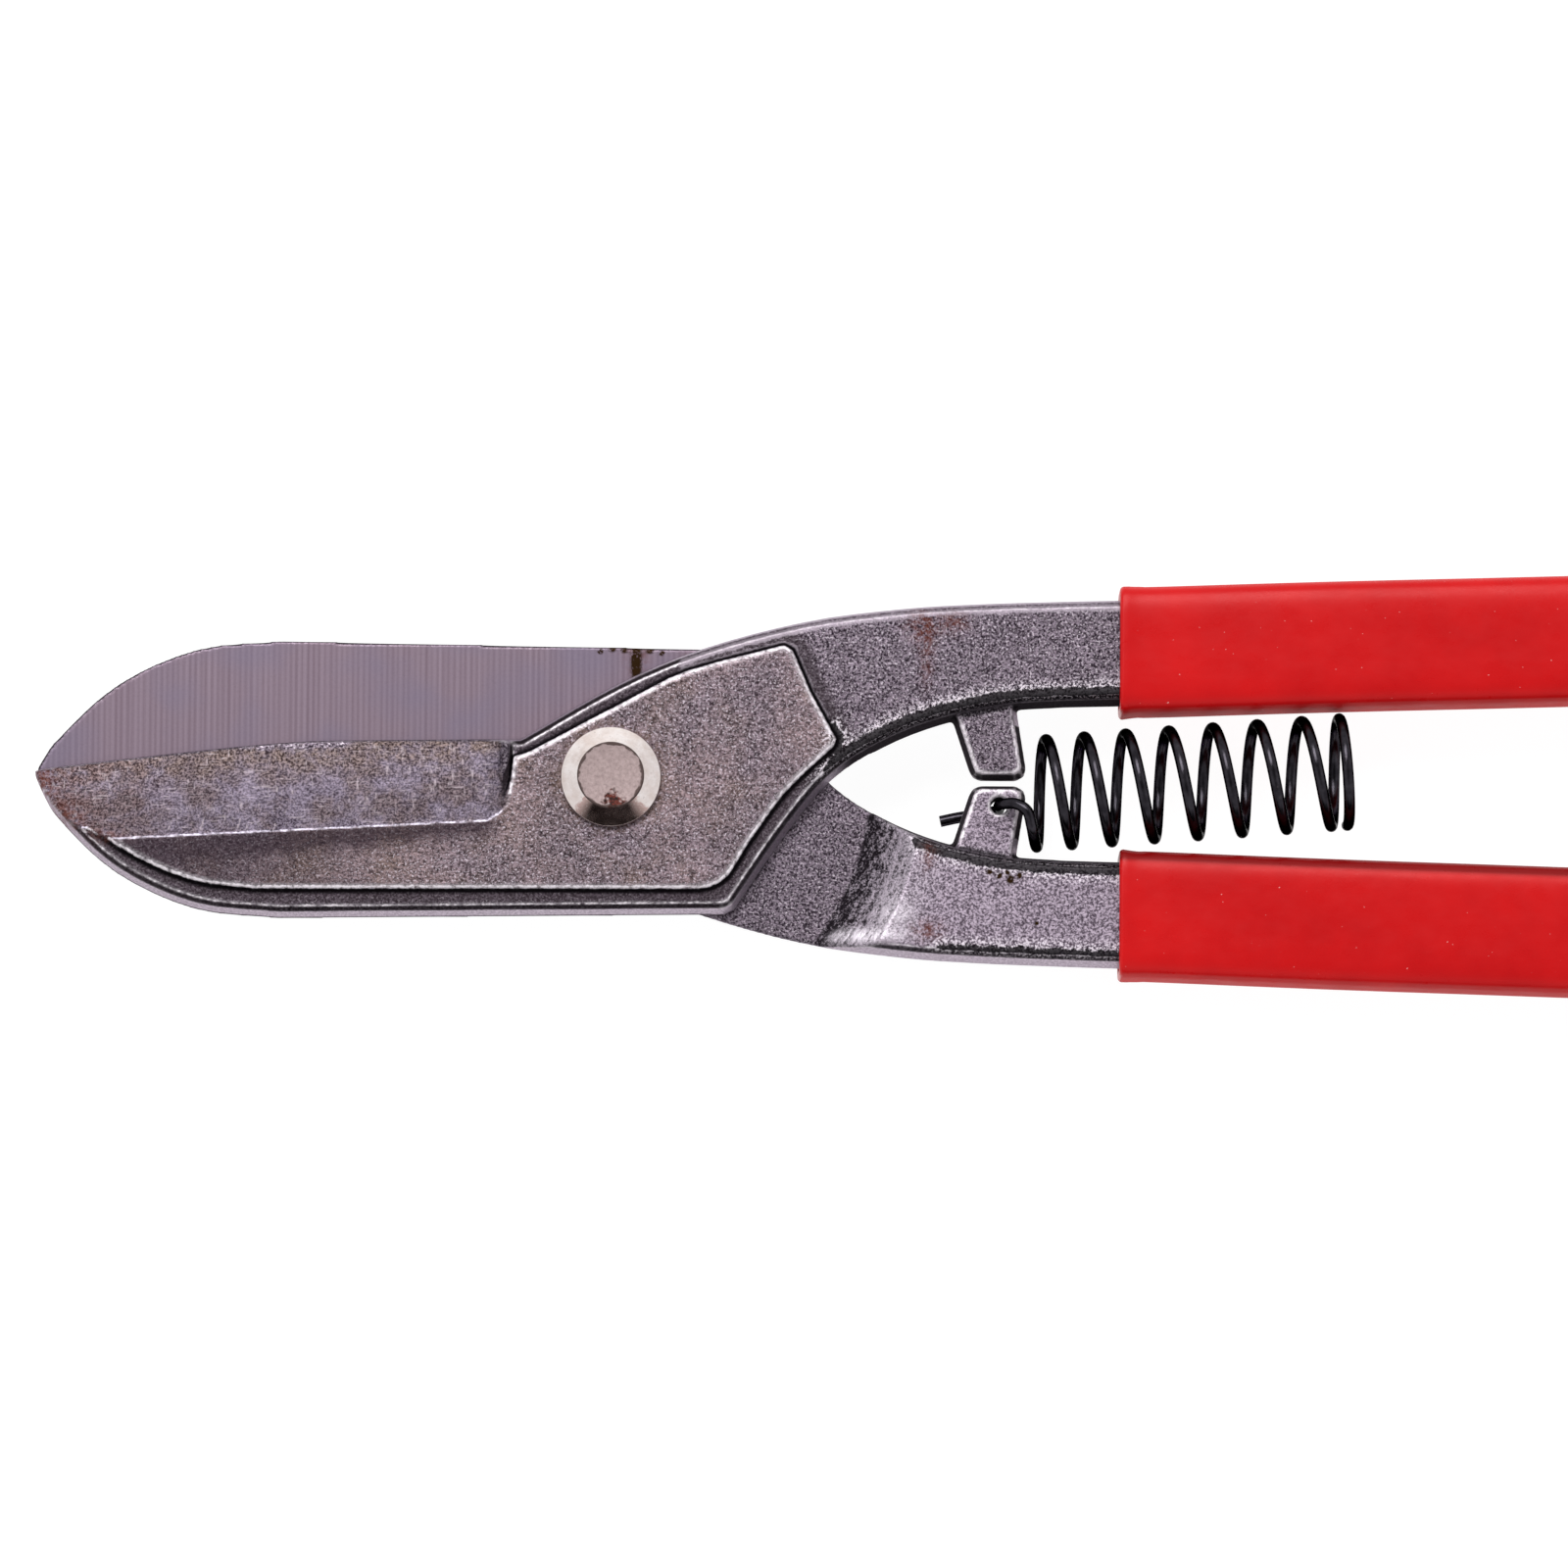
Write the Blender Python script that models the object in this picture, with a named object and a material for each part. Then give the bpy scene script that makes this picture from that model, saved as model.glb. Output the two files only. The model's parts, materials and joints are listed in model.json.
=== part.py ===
"""Tin snips: two forged levers on one pivot bolt, vinyl sleeves and a hooked return spring.

Frame: the pivot bolt's axis is +Z, the blades point to -X and the handles to +X. The bolt's staked end
is at the origin. Outlines are written in millimetres around the pivot, in the plane where the two
levers meet, and are turned into metres when a mesh is made.
"""

import math

import bmesh
import bpy
from mathutils import Matrix, Vector

MM = 0.001

# Thicknesses, measured from the plane where the levers meet.
MEETING_GAP = 0.3
HALF_THICKNESS = 4.0
HUB_HEIGHT = 0.7
FIT_GAP = 0.3

# Forged sides: how far the outline has drawn in at each height above the parting line.
SIDE_LAYERS = [(0.0, 0.0), (3.2, 0.6), (HALF_THICKNESS, 1.3)]

# Pivot.
SHANK_RADIUS = 4.0
HEAD_RADIUS = 6.65
HEAD_FLAT_RADIUS = 4.3
HEAD_RIM = 0.6
HEAD_HEIGHT = 2.6
WASHER_RADIUS = 8.0
WASHER_THICKNESS = 1.2
NUT_ACROSS_FLATS = 13.0
NUT_THICKNESS = 4.6
BOLT_END_PROUD = 0.8
BOLT_END_CHAMFER = 0.6

HUB_TOP = HALF_THICKNESS + HUB_HEIGHT
WASHER_TOP = -HUB_TOP - FIT_GAP
NUT_TOP = WASHER_TOP - WASHER_THICKNESS - FIT_GAP
BOLT_END = NUT_TOP - NUT_THICKNESS - BOLT_END_PROUD
MEETING_PLANE_HEIGHT = -BOLT_END

# Where the inner parts of the lever are cleared for its partner: flat to one radius, then a ramp.
CLEAR_RADIUS = 34.3
RAMP_TOP_RADIUS = 41.6

# Blade: the edge is ground hollow on the outer face, square to a line turned a little from X.
GRIND_ORIGIN = Vector((-12.1, -5.6))
GRIND_TURN = math.radians(3.1)
GRIND_WIDTH = 11.2
EDGE_LAND = 1.05
GRIND_CURVE = 1.3
THROAT_RADIUS = 4.2

# Handle centre line, from the sleeve's mouth to the rounded end.
HANDLE_LINE = [(67.5, 17.5), (95.0, 18.5), (122.0, 19.3), (148.0, 20.2), (173.0, 21.9)]
HANDLE_HALF_WIDTH = 7.1
HANDLE_END = 171.6
SLEEVE_MOUTH = 67.6
SLEEVE_END = 173.4
SLEEVE_WALL = 1.03
SLEEVE_HALF_WIDTH = HANDLE_HALF_WIDTH + FIT_GAP + SLEEVE_WALL
SLEEVE_HALF_THICKNESS = HALF_THICKNESS + FIT_GAP + 1.0

# Stop lugs.
LUG_HALF_THICKNESS = 2.5
LUG_TIP = 0.3
SPRING_HOLE = Vector((51.4, -3.2))
SPRING_HOLE_RADIUS = 1.15

# Return spring.
WIRE_RADIUS = 0.75
COIL_RADIUS = 7.1
COIL_START = Vector((55.85, -1.35, 0.0))
COIL_TILT = math.radians(4.4)
COIL_TURNS = 8.15
COIL_PITCH = 5.95
COIL_FIRST_ANGLE = math.radians(135)
COIL_FIRST_BOTTOM = 0.125
TAIL_DEPTH = -HALF_THICKNESS - WIRE_RADIUS - 0.45
POINTS_PER_TURN = 16

FORGED_GREY = (0.17, 0.16, 0.18)
GROUND_GREY = (0.20, 0.19, 0.21)
PLATED = (0.55, 0.52, 0.48)
VINYL_RED = (0.62, 0.02, 0.025)
OXIDE_BLACK = (0.015, 0.015, 0.018)


def clear_scene():
    for existing in list(bpy.data.objects):
        bpy.data.objects.remove(existing)


def make_material(name, colour, roughness, metallic):
    material = bpy.data.materials.new(name)
    material.use_nodes = True
    shader = material.node_tree.nodes["Principled BSDF"]
    shader.inputs["Base Color"].default_value = (*colour, 1.0)
    shader.inputs["Roughness"].default_value = roughness
    shader.inputs["Metallic"].default_value = metallic
    material.diffuse_color = (*colour, 1.0)
    return material


# Plane curves.

def smooth(points, steps=4):
    """A Catmull-Rom curve through the points, with this many steps from each to the next."""
    path = [Vector(point) for point in points]
    first = path[0] * 2 - path[1]
    last = path[-1] * 2 - path[-2]
    padded = [first, *path, last]
    curve = []
    for a, b, c, d in zip(padded, padded[1:], padded[2:], padded[3:]):
        for step in range(steps):
            t = step / steps
            drift = (c - a) * t + (a * 2 - b * 5 + c * 4 - d) * t**2 + (b * 3 - a - c * 3 + d) * t**3
            curve.append(b + drift / 2)
    curve.append(path[-1])
    return curve


def arc(centre, radius, start, end, steps):
    """Points on an arc, with the angles in degrees."""
    angles = [math.radians(start + (end - start) * step / steps) for step in range(steps + 1)]
    return [Vector(centre) + Vector((math.cos(a), math.sin(a))) * radius for a in angles]


def joined(*stretches):
    """One closed outline from stretches that follow each other, without the doubled end points."""
    outline = []
    for stretch in stretches:
        for point in map(Vector, stretch):
            if not outline or (point - outline[-1]).length > 0.05:
                outline.append(point)
    if (outline[0] - outline[-1]).length < 0.05:
        outline.pop()
    return outline


def drawn_in(outline, distance):
    """The anticlockwise outline moved inwards, each corner along its mitre."""
    result = []
    for index, point in enumerate(outline):
        before = (point - outline[index - 1]).normalized()
        after = (outline[(index + 1) % len(outline)] - point).normalized()
        middle = before + after
        if middle.length < 0.35:
            middle = before
        inward = Vector((-middle.y, middle.x)).normalized()
        stretch = max(0.5, inward.dot(Vector((-before.y, before.x))))
        result.append(point + inward * (distance / stretch))
    return result


def handle_outline(half_width, start, end):
    """The handle's inner edge, rounded end and outer edge, from the start back to the start."""
    line = [point for point in smooth(HANDLE_LINE, 3) if point.x < end - half_width - 2.0]
    line = [Vector((start, line[0].y + (start - line[0].x) * 0.04)), *line[1:]]
    directions = [(b - a).normalized() for a, b in zip(line, line[1:])]
    directions.append(directions[-1])
    normals = [Vector((-d.y, d.x)) for d in directions]
    inner = [point - normal * half_width for point, normal in zip(line, normals)]
    outer = [point + normal * half_width for point, normal in zip(line, normals)]
    heading = math.degrees(math.atan2(directions[-1].y, directions[-1].x))
    cap_centre = line[-1] + directions[-1] * (end - half_width - line[-1].x)
    cap = arc(cap_centre, half_width, heading - 90, heading + 90, 12)
    return [*inner, *cap, *reversed(outer)]


# Solids.

def solid_from_rings(name, rings):
    """A closed solid skinned over rings of equal length, listed from the lowest to the highest."""
    shape = bmesh.new()
    rows = [[shape.verts.new(Vector(point) * MM) for point in ring] for ring in rings]
    for low, high in zip(rows, rows[1:]):
        for index in range(len(low)):
            following = (index + 1) % len(low)
            shape.faces.new((low[index], low[following], high[following], high[index]))
    shape.faces.new(list(reversed(rows[0])))
    shape.faces.new(rows[-1])
    mesh = bpy.data.meshes.new(name)
    shape.to_mesh(mesh)
    shape.free()
    thing = bpy.data.objects.new(name, mesh)
    bpy.context.scene.collection.objects.link(thing)
    return thing


def slab(name, outline, layers):
    """An outline built up in layers of (height, how far it has drawn in)."""
    rings = []
    for height, inset in layers:
        ring = drawn_in(outline, inset)
        rings.append([(point.x, point.y, height) for point in ring])
    return solid_from_rings(name, rings)


def both_sides(layers):
    """Layers above the parting line, with their mirror images below it."""
    below = [(-height, inset) for height, inset in reversed(layers) if height > 0]
    return below + layers


def shade_round(thing):
    thing.data.shade_smooth()
    thing.data.set_sharp_from_angle(angle=math.radians(35))


def turned(name, profile, segments=48):
    """A solid turned about Z from its profile of (radius, height), listed from the bottom up."""
    angles = [2 * math.pi * step / segments for step in range(segments)]
    circle = [(math.cos(angle), math.sin(angle)) for angle in angles]
    rings = [[(x * radius, y * radius, height) for x, y in circle] for radius, height in profile]
    thing = solid_from_rings(name, rings)
    shade_round(thing)
    return thing


def combine(target, helper, operation):
    """Cuts the helper from the target, or adds it. The helper moves with the target."""
    helper.parent = target
    helper.hide_render = True
    helper.display_type = "WIRE"
    modifier = target.modifiers.new(helper.name, "BOOLEAN")
    modifier.operation = operation
    modifier.solver = "EXACT"
    modifier.object = helper


# The levers. Both are the same forging, and the rear one is turned half round about X.

def lever_outline():
    nose = smooth([(-76.6, 1.2), (-75.9, -0.9), (-73.2, -5.6), (-65.5, -12.7), (-55.1, -17.4), (-44.0, -18.6)])
    spine = [(-44.0, -18.6), (15.0, -17.8)]
    shoulder = smooth([(16.4, -17.2), (22.9, -7.5), (29.1, 0.1), (36.0, 4.7), (43.7, 7.8), (52.0, 9.6),
                       (60.0, 10.2)])
    handle = handle_outline(HANDLE_HALF_WIDTH, 67.5, HANDLE_END)
    back = smooth([(60.0, 24.4), (48.9, 24.0), (38.5, 23.3), (25.5, 21.5), (11.6, 17.7), (0.3, 12.8),
                   (-12.1, 5.6)])
    edge = smooth([(-12.1, 5.6), (-29.0, 5.4), (-41.2, 5.1), (-54.9, 3.8), (-76.6, 1.2)])
    return joined(nose, spine, shoulder, handle, back, edge)


def hub_outline():
    """The raised flat around the pivot and along the blade's spine, past the line of the grind."""
    spine = smooth([(-70.0, -6.5), (-62.5, -11.1), (-55.0, -14.1), (-47.0, -15.1)], 3)
    corner = arc((11.6, -9.4), 5.4, -90, -25, 4)
    side = smooth([(18.2, -8.8), (23.1, -1.9), (29.4, 4.2)], 3)
    end = [(29.9, 5.3), (26.4, 11.6), (24.0, 17.2), (22.8, 17.9)]
    back = smooth([(22.8, 17.9), (10.0, 14.4), (2.9, 10.9), (-10.5, 3.7)], 3)
    throat = [(-11.4, 3.3), (-13.8, 2.6), (-15.5, -2.0), (-19.0, -3.5), (-62.0, -5.0)]
    return joined(spine, corner, side, end, back, throat)


def lug_outline():
    tip = [(47.4, 1.6), (47.9, 0.7), (48.9, LUG_TIP), (53.6, LUG_TIP), (54.7, 0.9), (55.0, 2.0)]
    return joined([(44.3, 11.0), (45.2, 8.3)], tip, [(53.8, 9.4), (53.5, 12.5)])


def partner_clearance(name):
    """What the partner lever needs below the meeting plane: the blade's side, and a disc with a ramp."""
    def ring(radius, height):
        round_end = arc((0.0, 0.0), radius, -80, 80, 32)
        far = [(-90.0, 60.0), (-90.0, -60.0)]
        return [(point[0], point[1], height) for point in [*round_end, *far]]

    slope = (RAMP_TOP_RADIUS - CLEAR_RADIUS) / (HALF_THICKNESS + MEETING_GAP / 2)
    below = HALF_THICKNESS + 2.0
    foot = MEETING_GAP / 2
    lowest = ring(CLEAR_RADIUS + slope * (below + foot), -below)
    return solid_from_rings(name, [lowest, ring(CLEAR_RADIUS, foot)])


def grinding_wheel(name):
    """The hollow of the grind: concave across the blade, and rounding up out of it at the throat."""
    turn = Matrix.Rotation(GRIND_TURN, 2)

    def corner(along, across, height):
        place = GRIND_ORIGIN + turn @ Vector((along, across))
        return (place.x, place.y, height)

    def section(along):
        inside = max(0.0, along + THROAT_RADIUS)
        lift = THROAT_RADIUS - math.sqrt(THROAT_RADIUS**2 - inside**2)
        floor = []
        for across in (-5.0, 0.0, 2.8, 5.6, 8.4, GRIND_WIDTH, 18.0):
            part = max(0.0, 1 - across / GRIND_WIDTH)
            height = EDGE_LAND + (HUB_TOP - EDGE_LAND) * part**GRIND_CURVE
            floor.append(corner(along, across, height + lift))
        return [*floor, corner(along, 18.0, 14.0), corner(along, -5.0, 14.0)]

    rounding = [-THROAT_RADIUS * (1 - math.sin(math.radians(angle))) for angle in (0, 28, 48, 66, 80)]
    return solid_from_rings(name, [section(along) for along in (-75.0, *rounding)])


def make_lever(name, material):
    lever = slab(name, lever_outline(), both_sides(SIDE_LAYERS))
    lever.data.materials.append(material)
    combine(lever, partner_clearance(name + "_clearance"), "DIFFERENCE")
    lug_layers = both_sides([(0.0, 0.0), (LUG_HALF_THICKNESS, 0.75)])
    combine(lever, slab(name + "_lug", lug_outline(), lug_layers), "UNION")
    hub_layers = [(HALF_THICKNESS - 1.2, 0.0), (HALF_THICKNESS, 0.0), (HUB_TOP, 0.3)]
    combine(lever, slab(name + "_hub", hub_outline(), hub_layers), "UNION")
    combine(lever, grinding_wheel(name + "_grind"), "DIFFERENCE")
    bore_radius = SHANK_RADIUS + FIT_GAP
    combine(lever, turned(name + "_bore", [(bore_radius, -9.0), (bore_radius, 9.0)]), "DIFFERENCE")
    return lever


def drill_spring_hole(lever):
    """The hole through the rear lever's lug, in that lever's own turned-over frame."""
    drill = turned("spring_hole_drill", [(SPRING_HOLE_RADIUS, -6.0), (SPRING_HOLE_RADIUS, 6.0)], 20)
    drill.location = Vector((SPRING_HOLE.x, -SPRING_HOLE.y, 0.0)) * MM
    combine(lever, drill, "DIFFERENCE")


# The pivot.

def make_bolt(material):
    seat = HUB_TOP + FIT_GAP
    profile = [
        (SHANK_RADIUS - BOLT_END_CHAMFER, BOLT_END),
        (SHANK_RADIUS, BOLT_END + BOLT_END_CHAMFER),
        (SHANK_RADIUS, seat),
        (HEAD_RADIUS, seat),
        (HEAD_RADIUS, seat + HEAD_RIM),
        (HEAD_FLAT_RADIUS, seat + HEAD_HEIGHT),
    ]
    bolt = turned("pivot_bolt", profile)
    bolt.data.materials.append(material)
    return bolt


def make_ring(name, outer, height, thickness, bore, segments, material):
    """A flat ring, or a nut when it has six outer sides, its top face at the height."""
    ring = turned(name, [(outer, height - thickness), (outer, height)], segments)
    ring.data.materials.append(material)
    drill = turned(name + "_drill", [(bore, height - thickness - 2.0), (bore, height + 2.0)])
    combine(ring, drill, "DIFFERENCE")
    return ring


# The sleeves.

def make_sleeve(name, material):
    outer = handle_outline(SLEEVE_HALF_WIDTH, SLEEVE_MOUTH, SLEEVE_END)
    thick = SLEEVE_HALF_THICKNESS
    rounding = [(0.0, 0.0), (thick - 3.2, 0.05), (thick - 1.6, 0.5), (thick - 0.5, 1.5), (thick, 3.0)]
    sleeve = slab(name, outer, both_sides(rounding))
    shade_round(sleeve)
    sleeve.data.materials.append(material)
    hollow = handle_outline(HANDLE_HALF_WIDTH + FIT_GAP, SLEEVE_MOUTH - 3.0, HANDLE_END + FIT_GAP)
    layers = both_sides([(0.0, 0.0), (3.3, 0.6), (HALF_THICKNESS + FIT_GAP, 1.35)])
    combine(sleeve, slab(name + "_hollow", hollow, layers), "DIFFERENCE")
    return sleeve


# The spring.

def coil_point(turn):
    """A point of the coil after this many turns. It is tighter at its start, and its last turn closes."""
    from_bottom = turn - COIL_FIRST_BOTTOM
    tight_start = 0.42 * (1.0 - math.exp(-from_bottom / 1.4))
    closed_end = 0.65 * max(0.0, turn - COIL_TURNS + 1.0) ** 2
    along = (from_bottom - tight_start - closed_end) * COIL_PITCH
    angle = COIL_FIRST_ANGLE + 2 * math.pi * turn
    ring = Vector((along, COIL_RADIUS * math.cos(angle), COIL_RADIUS * math.sin(angle)))
    return COIL_START + Matrix.Rotation(COIL_TILT, 3, "Z") @ ring


def spring_path():
    hole = Vector((SPRING_HOLE.x, SPRING_HOLE.y, 0.0))
    tail = [(43.7, -4.5, TAIL_DEPTH), (46.0, -4.0, TAIL_DEPTH), (48.4, -3.6, TAIL_DEPTH), (50.4, -3.3, -4.4)]
    through = [hole + Vector((0.0, 0.0, -2.9)), hole + Vector((0.0, 0.0, 2.5))]
    rise = [hole + Vector(step) for step in ((0.6, 0.05, 4.0), (2.2, -0.05, 5.0), (3.7, -1.1, 5.5))]
    hook = smooth([*tail, *through, *rise, coil_point(0.0)], 3)
    steps = round(COIL_TURNS * POINTS_PER_TURN)
    coil = [coil_point(COIL_TURNS * step / steps) for step in range(1, steps + 1)]
    return [*hook, *coil]


def make_spring(material):
    origin = Vector((SPRING_HOLE.x, SPRING_HOLE.y, 0.0))
    path = spring_path()
    wire = bpy.data.curves.new("return_spring", "CURVE")
    wire.dimensions = "3D"
    wire.bevel_depth = WIRE_RADIUS * MM
    wire.bevel_resolution = 2
    wire.use_fill_caps = True
    spline = wire.splines.new("POLY")
    spline.points.add(len(path) - 1)
    for knot, point in zip(spline.points, path):
        knot.co = (*((point - origin) * MM), 1.0)
    wire.materials.append(material)
    spring = bpy.data.objects.new("return_spring", wire)
    bpy.context.scene.collection.objects.link(spring)
    spring.location = origin * MM
    return spring


def main():
    clear_scene()
    forged = make_material("forged_steel", FORGED_GREY, 0.5, 0.85)
    forged_rear = make_material("forged_steel_rear", GROUND_GREY, 0.45, 0.85)
    plated = make_material("plated_steel", PLATED, 0.3, 1.0)
    vinyl = make_material("red_vinyl", VINYL_RED, 0.25, 0.0)
    oxide = make_material("black_wire", OXIDE_BLACK, 0.25, 0.6)

    front = make_lever("front_lever", forged)
    rear = make_lever("rear_lever", forged_rear)
    rear.rotation_euler.x = math.pi
    drill_spring_hole(rear)

    bolt = make_bolt(plated)
    bore = SHANK_RADIUS + FIT_GAP
    washer = make_ring("pivot_washer", WASHER_RADIUS, WASHER_TOP, WASHER_THICKNESS, bore, 48, plated)
    nut_radius = NUT_ACROSS_FLATS / 2 / math.cos(math.radians(30))
    nut = make_ring("pivot_nut", nut_radius, NUT_TOP, NUT_THICKNESS, bore, 6, plated)

    upper_grip = make_sleeve("upper_grip", vinyl)
    lower_grip = make_sleeve("lower_grip", vinyl)
    lower_grip.rotation_euler.x = math.pi
    spring = make_spring(oxide)

    pivot = bpy.data.objects.new("pivot_axis", None)
    bpy.context.scene.collection.objects.link(pivot)
    pivot.location.z = MEETING_PLANE_HEIGHT * MM
    for piece in (front, rear, bolt, washer, nut, upper_grip, lower_grip, spring):
        piece.parent = pivot


main()
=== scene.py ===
import json
import math

import bmesh
import bpy
import numpy as np
from mathutils import Matrix, Vector


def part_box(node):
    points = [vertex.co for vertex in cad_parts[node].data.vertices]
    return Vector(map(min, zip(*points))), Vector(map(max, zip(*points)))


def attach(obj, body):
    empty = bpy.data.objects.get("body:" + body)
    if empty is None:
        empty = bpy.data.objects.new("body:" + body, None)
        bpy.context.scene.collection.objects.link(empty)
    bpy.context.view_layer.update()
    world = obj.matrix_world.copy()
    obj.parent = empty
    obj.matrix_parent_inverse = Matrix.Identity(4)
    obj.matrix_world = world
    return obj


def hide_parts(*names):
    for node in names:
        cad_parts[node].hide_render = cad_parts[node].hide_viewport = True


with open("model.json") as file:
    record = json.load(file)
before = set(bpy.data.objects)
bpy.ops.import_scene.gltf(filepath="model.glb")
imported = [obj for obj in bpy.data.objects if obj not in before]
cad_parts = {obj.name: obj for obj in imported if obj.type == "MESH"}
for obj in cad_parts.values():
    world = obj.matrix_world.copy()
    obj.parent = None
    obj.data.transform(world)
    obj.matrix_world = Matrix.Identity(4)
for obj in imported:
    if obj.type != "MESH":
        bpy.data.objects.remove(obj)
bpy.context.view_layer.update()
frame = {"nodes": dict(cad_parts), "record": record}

# The looks of the tin snips: forged levers, hollow-ground edges, plated pivot, vinyl sleeves, spring.
# Lengths are in metres, and MM turns millimetres into them. Places are counted from the pivot's axis
# in the plane where the levers meet.

MM = 0.001
VOXEL = 0.26 * MM


def joint_place(name):
    joints = frame["record"]["behaviour"]["joints"]
    return Vector(next(joint["pos_m"] for joint in joints if joint["name"] == name))


PIVOT = joint_place("blade_pivot")
SPRING_HOLE = joint_place("spring_swivel")


# Mesh tools.

def link(thing):
    bpy.context.scene.collection.objects.link(thing)
    return thing


def baked(thing, name):
    """A new object with the mesh that this one's modifiers make. The old one goes."""
    graph = bpy.context.evaluated_depsgraph_get()
    mesh = bpy.data.meshes.new_from_object(thing.evaluated_get(graph))
    mesh.name = name
    bpy.data.objects.remove(thing)
    return link(bpy.data.objects.new(name, mesh))


def copy_of_node(node, name):
    source = frame["nodes"][node]
    graph = bpy.context.evaluated_depsgraph_get()
    mesh = bpy.data.meshes.new_from_object(source.evaluated_get(graph))
    mesh.materials.clear()
    mesh.transform(source.matrix_world)
    shape = bmesh.new()
    shape.from_mesh(mesh)
    bmesh.ops.remove_doubles(shape, verts=shape.verts, dist=0.001 * MM)
    shape.to_mesh(mesh)
    shape.free()
    return link(bpy.data.objects.new(name, mesh))


def skin(name, rings, ends="capped"):
    """A mesh skinned over rings of equal length. The ends are capped, or meet, as in a ring."""
    shape = bmesh.new()
    rows = [[shape.verts.new(point) for point in ring] for ring in rings]
    followers = rows[1:] if ends == "capped" else [*rows[1:], rows[0]]
    for low, high in zip(rows, followers):
        for index in range(len(low)):
            following = (index + 1) % len(low)
            shape.faces.new((low[index], low[following], high[following], high[index]))
    if ends == "capped":
        shape.faces.new(list(reversed(rows[0])))
        shape.faces.new(rows[-1])
    bmesh.ops.recalc_face_normals(shape, faces=shape.faces)
    mesh = bpy.data.meshes.new(name)
    shape.to_mesh(mesh)
    shape.free()
    mesh.shade_smooth()
    return link(bpy.data.objects.new(name, mesh))


def vertex_array(mesh, source, width=3):
    values = np.empty(len(mesh.vertices) * width, dtype=np.float32)
    source.foreach_get("co" if source == mesh.vertices else "vector", values)
    return values.reshape(-1, width).astype(np.float64)


def neighbour_mean(mesh, values, rounds=1):
    """The values averaged over each vertex's neighbours, as many times as asked."""
    ends = np.empty(len(mesh.edges) * 2, dtype=np.int32)
    mesh.edges.foreach_get("vertices", ends)
    first, second = ends.reshape(-1, 2).T
    start = np.concatenate([first, second])
    other = np.concatenate([second, first])
    count = np.maximum(np.bincount(start, minlength=len(mesh.vertices)), 1)
    result = np.atleast_2d(values.T).T.astype(np.float64)
    for _ in range(rounds):
        columns = [np.bincount(start, weights=column[other], minlength=len(count)) for column in result.T]
        result = np.stack(columns, axis=1) / count[:, None]
    return result if values.ndim > 1 else result[:, 0]


def store(mesh, name, values):
    layer = mesh.attributes.new(name, "FLOAT", "POINT")
    layer.data.foreach_set("value", values.astype(np.float32))


def ramp_up(values, low, high):
    """0 below low, 1 above high and a smooth rise between."""
    part = np.clip((values - low) / (high - low), 0.0, 1.0)
    return part * part * (3 - 2 * part)


# Shader tools.

def add(tree, kind, settings=None, **inputs):
    """A node with its settings and its inputs. An input's name has underscores for spaces."""
    node = tree.nodes.new(kind)
    for key, value in (settings or {}).items():
        setattr(node, key, value)
    for key, value in inputs.items():
        plug(tree, value, node.inputs[key.replace("_", " ")])
    return node


def plug(tree, value, socket):
    if isinstance(value, bpy.types.NodeSocket):
        tree.links.new(value, socket)
    else:
        socket.default_value = value


def maths(tree, operation, first, second=0.0, clamp=False):
    node = add(tree, "ShaderNodeMath", {"operation": operation, "use_clamp": clamp})
    plug(tree, first, node.inputs[0])
    plug(tree, second, node.inputs[1])
    return node.outputs[0]


def scaled(tree, value, amount):
    return maths(tree, "MULTIPLY", value, amount)


def inverse(tree, value):
    """What is left of 1 when the value is taken off."""
    return maths(tree, "SUBTRACT", 1.0, value, clamp=True)


def blend_colour(tree, factor, first, second, mode="MIX"):
    node = add(tree, "ShaderNodeMix", {"data_type": "RGBA", "blend_type": mode})
    plug(tree, factor, node.inputs[0])
    plug(tree, first, node.inputs[6])
    plug(tree, second, node.inputs[7])
    return node.outputs[2]


def millimetres(tree, stretch=(1.0, 1.0, 1.0)):
    """The place on the object in millimetres, squeezed along each axis by the stretch."""
    place = add(tree, "ShaderNodeTexCoord").outputs["Object"]
    scale = tuple(1000.0 * part for part in stretch)
    return add(tree, "ShaderNodeMapping", Vector=place, Scale=scale).outputs[0]


def noise(tree, place, scale, detail=2.0, roughness=0.5):
    node = add(tree, "ShaderNodeTexNoise", Vector=place, Scale=scale, Detail=detail, Roughness=roughness)
    return node.outputs["Fac"]


def levels(tree, value, low, high, out_low=0.0, out_high=1.0):
    """The value stretched so that low and high become the two outputs, and held there."""
    node = add(tree, "ShaderNodeMapRange", {"clamp": True})
    for index, number in enumerate((value, low, high, out_low, out_high)):
        plug(tree, number, node.inputs[index])
    return node.outputs[0]


def mask(tree, name):
    return add(tree, "ShaderNodeAttribute", {"attribute_name": name}).outputs["Fac"]


def vector_maths(tree, operation, *vectors):
    node = add(tree, "ShaderNodeVectorMath", {"operation": operation})
    for vector, socket in zip(vectors, node.inputs):
        plug(tree, vector, socket)
    return node


def from_pivot(tree, place, offset=(0.0, 0.0)):
    """How far the place is, in plan and in millimetres, from a point near the pivot's axis, and which way.

    The offset is where that point lies, counted from the axis.
    """
    centre = tuple(PIVOT / MM + Vector((*offset, 0.0)))
    centred = vector_maths(tree, "SUBTRACT", place, centre).outputs[0]
    flat = vector_maths(tree, "MULTIPLY", centred, (1.0, 1.0, 0.0)).outputs[0]
    return vector_maths(tree, "LENGTH", flat).outputs["Value"], flat


def colour(red, green, blue):
    return (red, green, blue, 1.0)


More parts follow.
